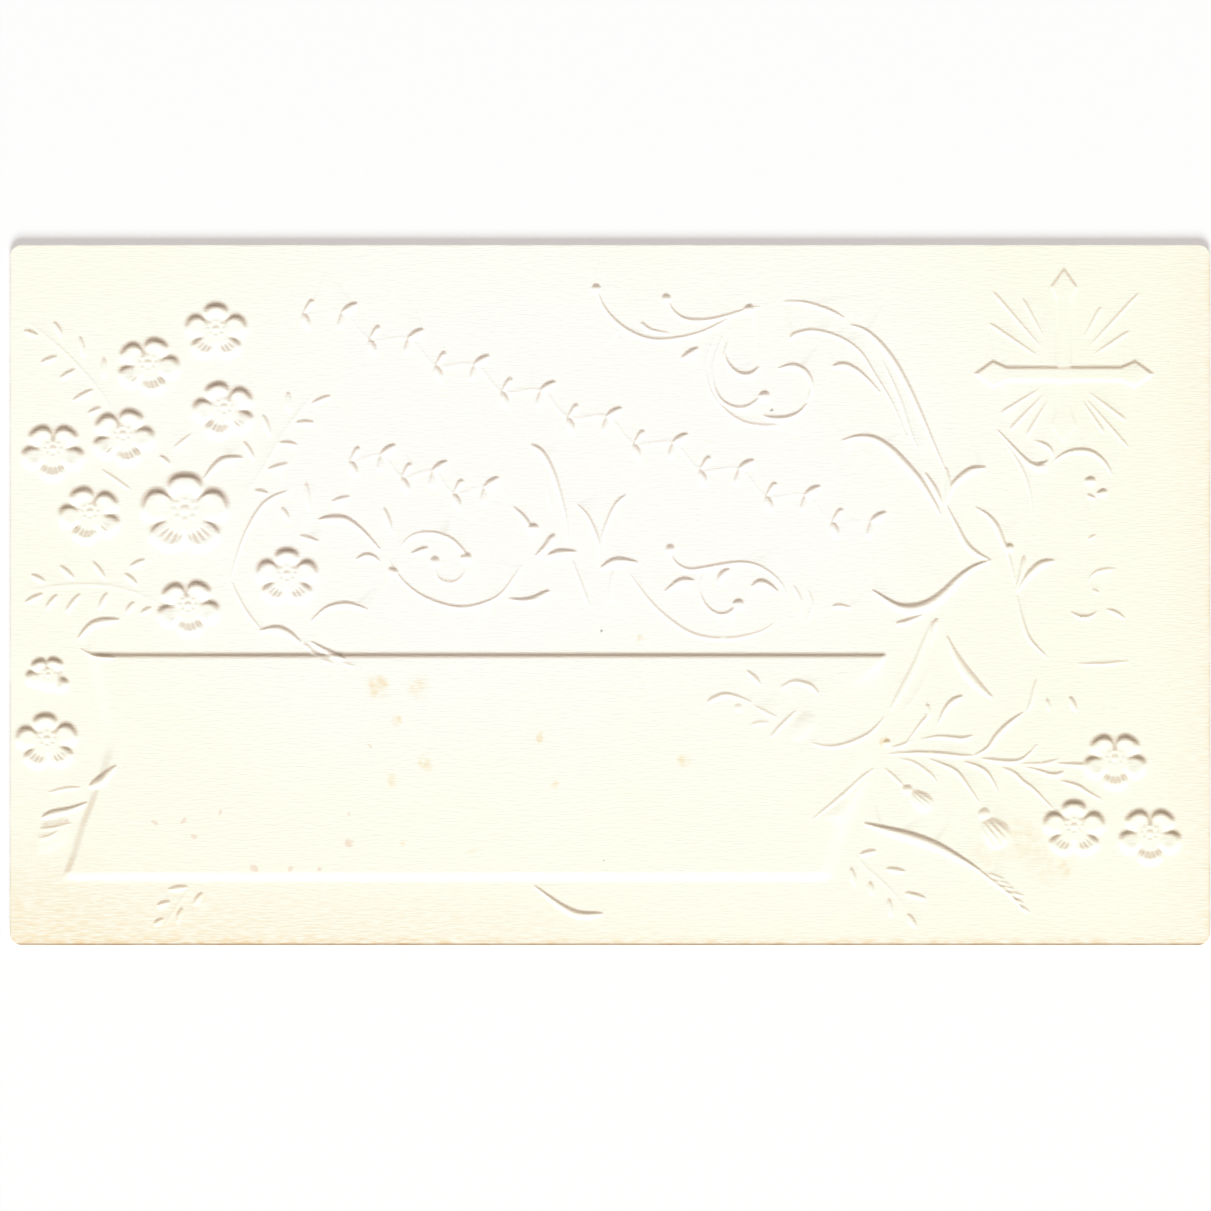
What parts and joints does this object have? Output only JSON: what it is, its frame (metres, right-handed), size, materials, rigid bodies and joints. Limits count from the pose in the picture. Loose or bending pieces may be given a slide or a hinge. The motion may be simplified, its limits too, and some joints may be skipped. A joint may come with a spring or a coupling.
{
  "type": "embossed calling card",
  "caption": "Stiff cream paper calling card pressed in relief with a flower spray, scrollwork, a cross and a raised blank name panel.",
  "frame": {"origin": "middle of the card's plain back, at the bottom of its bounding box", "axes": "+X along the card's long side towards the picture's right, +Y up the picture, +Z out of the embossed face"},
  "size_m": [0.09, 0.0524, 0.0007],
  "materials": {
    "paper": "matte"
  },
  "bodies": {
    "root": {"card": "paper"}
  },
  "joints": []
}
